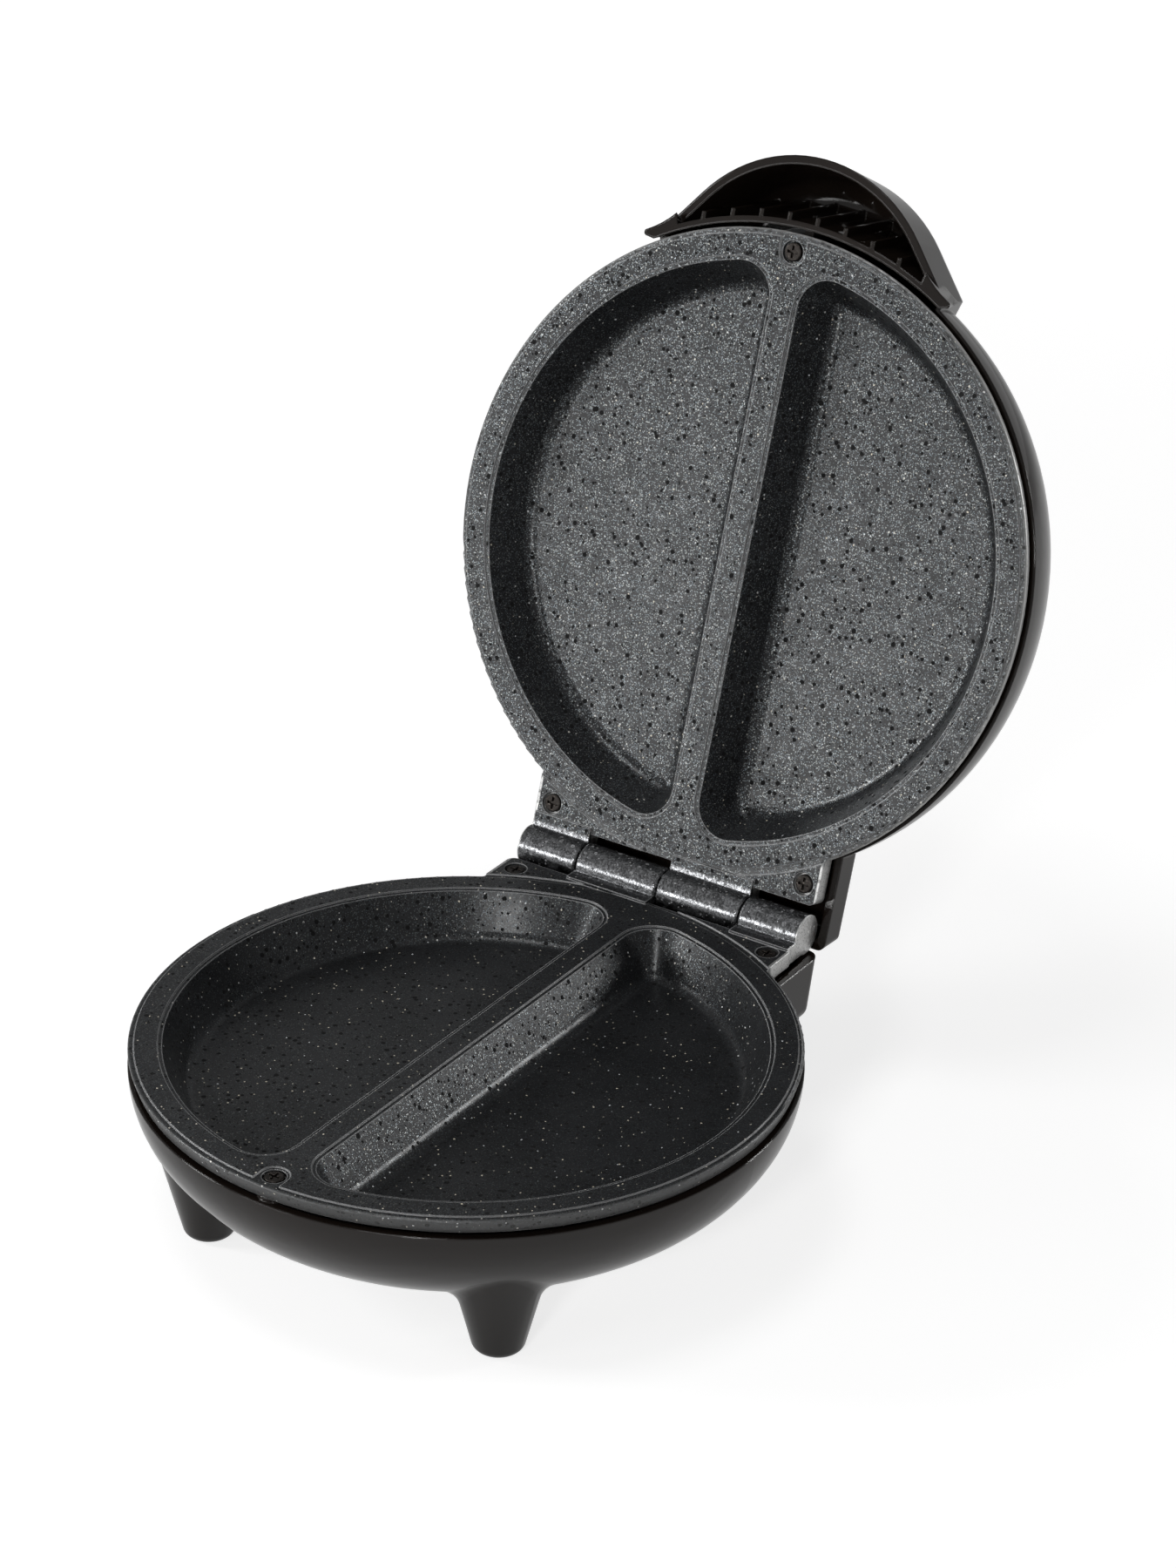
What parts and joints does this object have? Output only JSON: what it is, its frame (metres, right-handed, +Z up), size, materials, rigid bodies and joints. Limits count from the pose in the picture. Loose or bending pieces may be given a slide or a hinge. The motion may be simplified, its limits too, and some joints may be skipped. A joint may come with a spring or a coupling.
{
  "type": "electric omelette maker",
  "caption": "Electric omelette maker with D-shaped non-stick pans in a hinged base and lid, gloss housings, tapered feet and a hooded front handle, standing open.",
  "frame": {"origin": "on the table, under the middle of the open appliance's bounding box", "axes": "+Z up, -Y to the front and the handle, +Y to the hinge, +X to the right seen from the front"},
  "size_m": [0.1876, 0.292, 0.2596],
  "materials": {
    "gloss_black": "glossy moulded phenolic, black-brown",
    "nonstick_casting": "cast aluminium with a dark speckled non-stick coating",
    "dark_screw": "dark bronzed steel",
    "element_sheath": "annealed steel sheath",
    "plated_steel": "zinc plated",
    "bright_aluminium": "bright rolled sheet",
    "switch_plastic": "brown phenolic",
    "terminal_plastic": "natural nylon",
    "wire_insulation": "fibreglass sleeving",
    "fuse_sleeve": "woven glass sleeve",
    "gland_rubber": "moulded black rubber",
    "pad_rubber": "matte rubber",
    "red_lens": "moulded red lens",
    "green_lens": "moulded green lens",
    "lamp_glass": "clear lamp glass"
  },
  "bodies": {
    "base": {"base_housing": "gloss_black", "foot_pads": "pad_rubber", "lower_cooking_plate": "nonstick_casting", "lower_plate_screws": "dark_screw", "lower_heating_element": "element_sheath", "lower_element_retainer": "plated_steel", "lower_retainer_screws": "plated_steel", "lower_heat_reflector": "bright_aluminium", "thermostat": "switch_plastic", "thermostat_bracket": "plated_steel", "terminal_block": "terminal_plastic", "base_wiring": "wire_insulation", "cord_gland": "gland_rubber", "base_lead_gland": "gland_rubber", "hinge_pin": "plated_steel"},
    "lid": {"lid_housing": "gloss_black", "upper_cooking_plate": "nonstick_casting", "upper_plate_screws": "dark_screw", "upper_heating_element": "element_sheath", "upper_element_retainer": "plated_steel", "upper_retainer_screws": "plated_steel", "upper_heat_reflector": "bright_aluminium", "thermal_fuse": "fuse_sleeve", "thermal_fuse_clip": "plated_steel", "indicator_lamps": "lamp_glass", "lamp_holder": "terminal_plastic", "lid_wiring": "wire_insulation", "power_lens": "red_lens", "ready_lens": "green_lens", "lid_lead_gland": "gland_rubber"}
  },
  "joints": [
    {"name": "lid_hinge", "type": "hinge", "parent": "base", "child": "lid", "pos_m": [0, 0.0504, 0.0548], "axis": [1, 0, 0], "range_deg": [0, 107.8]}
  ]
}
